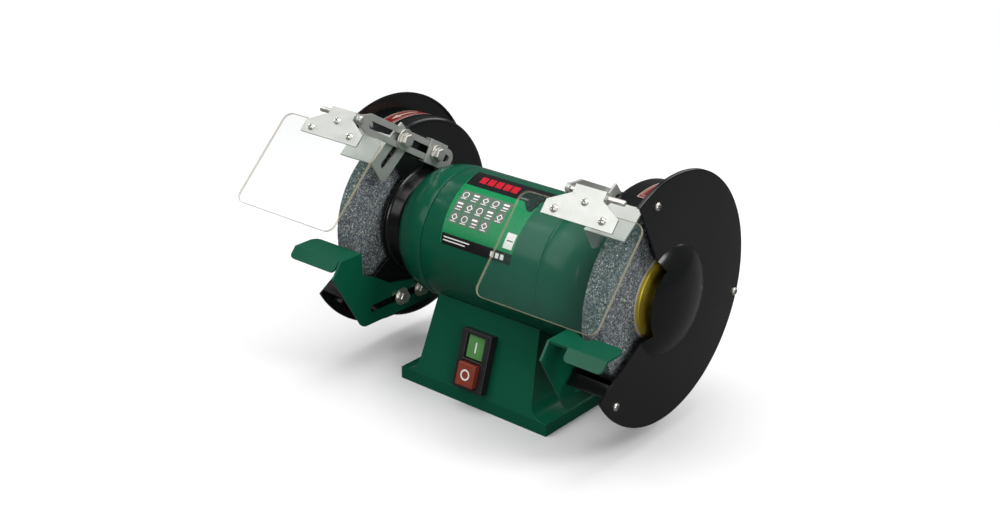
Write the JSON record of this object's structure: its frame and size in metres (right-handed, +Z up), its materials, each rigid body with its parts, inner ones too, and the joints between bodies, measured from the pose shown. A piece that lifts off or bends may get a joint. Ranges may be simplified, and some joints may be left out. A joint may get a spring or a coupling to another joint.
{
  "type": "bench grinder",
  "caption": "Double-ended bench grinder: motor on a pedestal base, a guarded grinding wheel at each end, with tool rests, spark deflectors and clear eye shields.",
  "frame": {"origin": "middle of the base's underside, on the bench", "axes": "+X along the spindle towards the right-hand wheel, -Y towards the operator, +Z up"},
  "size_m": [0.359, 0.2523, 0.2346],
  "materials": {
    "green_enamel": "gloss",
    "black_enamel": "satin",
    "zinc_sheet": "zinc plated",
    "zinc_fastener": "zinc plated",
    "black_plastic": "satin",
    "start_green": "satin",
    "stop_red": "satin",
    "capacitor_can": "satin",
    "lamination": "rough",
    "copper": "varnished copper wire",
    "bright_steel": "turned",
    "yellow_zinc": "yellow zinc plated",
    "abrasive": "coarse",
    "clear_sheet": "clear polycarbonate"
  },
  "bodies": {
    "body": {"base_pedestal": "green_enamel", "bottom_plate": "zinc_sheet", "cable_gland": "black_plastic", "capacitor": "capacitor_can", "switch_housing": "black_plastic", "motor_housing": "green_enamel", "left_end_bell": "green_enamel", "right_end_bell": "green_enamel", "stator_core": "lamination", "left_winding": "copper", "right_winding": "copper", "left_bearing": "bright_steel", "right_bearing": "bright_steel", "left_guard_drum": "black_enamel", "right_guard_drum": "black_enamel", "left_guard_cover": "black_enamel", "right_guard_cover": "black_enamel", "left_cover_screw_1": "zinc_fastener", "left_cover_screw_2": "zinc_fastener", "left_cover_screw_3": "zinc_fastener", "right_cover_screw_1": "zinc_fastener", "right_cover_screw_2": "zinc_fastener", "right_cover_screw_3": "zinc_fastener", "left_rest_bolt_1": "zinc_fastener", "left_rest_bolt_2": "zinc_fastener", "right_rest_bolt_1": "zinc_fastener", "right_rest_bolt_2": "zinc_fastener", "left_arm_saddle": "zinc_sheet", "right_arm_saddle": "zinc_sheet", "left_arm_front_bolt": "zinc_fastener", "right_arm_front_bolt": "zinc_fastener", "left_arm_rear_bolt": "zinc_fastener", "right_arm_rear_bolt": "zinc_fastener"},
    "rotor": {"spindle": "bright_steel", "rotor_core": "lamination", "left_grinding_wheel": "abrasive", "right_grinding_wheel": "abrasive", "left_inner_flange": "bright_steel", "right_inner_flange": "bright_steel", "left_outer_flange": "yellow_zinc", "right_outer_flange": "yellow_zinc", "left_spindle_nut": "bright_steel", "right_spindle_nut": "bright_steel"},
    "left_rest": {"left_tool_rest": "green_enamel"},
    "left_arm": {"left_shield_arm": "zinc_sheet", "left_shield_rod": "zinc_sheet"},
    "left_shield": {"left_shield_bracket": "zinc_sheet", "left_eye_shield": "clear_sheet"},
    "left_deflector": {"left_spark_deflector": "zinc_sheet"},
    "right_rest": {"right_tool_rest": "green_enamel"},
    "right_arm": {"right_shield_arm": "zinc_sheet", "right_shield_rod": "zinc_sheet"},
    "right_shield": {"right_shield_bracket": "zinc_sheet", "right_eye_shield": "clear_sheet"},
    "right_deflector": {"right_spark_deflector": "zinc_sheet"},
    "start": {"start_button": "start_green"},
    "stop": {"stop_button": "stop_red"}
  },
  "joints": [
    {"name": "spindle_spin", "type": "hinge", "parent": "body", "child": "rotor", "pos_m": [0, 0, 0.12], "axis": [1, 0, 0], "continuous": true},
    {"name": "left_rest_slide", "type": "slide", "parent": "body", "child": "left_rest", "axis": [0, 1, 0], "range_m": [-0.012, 0.0015]},
    {"name": "left_arm_slide", "type": "slide", "parent": "body", "child": "left_arm", "axis": [0, 0.866, -0.5], "range_m": [-0.016, 0.012]},
    {"name": "left_shield_tilt", "type": "hinge", "parent": "left_arm", "child": "left_shield", "pos_m": [-0.1215, -0.077, 0.2285], "axis": [1, 0, 0], "range_deg": [-70, 25]},
    {"name": "left_deflector_slide", "type": "slide", "parent": "body", "child": "left_deflector", "axis": [0, 0.7997, 0.6004], "range_m": [-0.0025, 0.012]},
    {"name": "right_rest_slide", "type": "slide", "parent": "body", "child": "right_rest", "axis": [0, 1, 0], "range_m": [-0.0095, 0.0035]},
    {"name": "right_arm_slide", "type": "slide", "parent": "body", "child": "right_arm", "axis": [0, 0.9063, -0.4226], "range_m": [-0.016, 0.012]},
    {"name": "right_shield_tilt", "type": "hinge", "parent": "right_arm", "child": "right_shield", "pos_m": [0.127, -0.07937, 0.22394], "axis": [1, 0, 0], "range_deg": [-75, 20]},
    {"name": "right_deflector_slide", "type": "slide", "parent": "body", "child": "right_deflector", "axis": [0, 0.7997, 0.6004], "range_m": [-0.0025, 0.012]},
    {"name": "start_press", "type": "slide", "parent": "body", "child": "start", "axis": [0, 0.9588, -0.284], "range_m": [0, 0.003], "stiffness_N_per_m": 500, "springref_m": -0.001},
    {"name": "stop_press", "type": "slide", "parent": "body", "child": "stop", "axis": [0, 0.9588, -0.284], "range_m": [0, 0.0035], "stiffness_N_per_m": 500, "springref_m": -0.001}
  ]
}
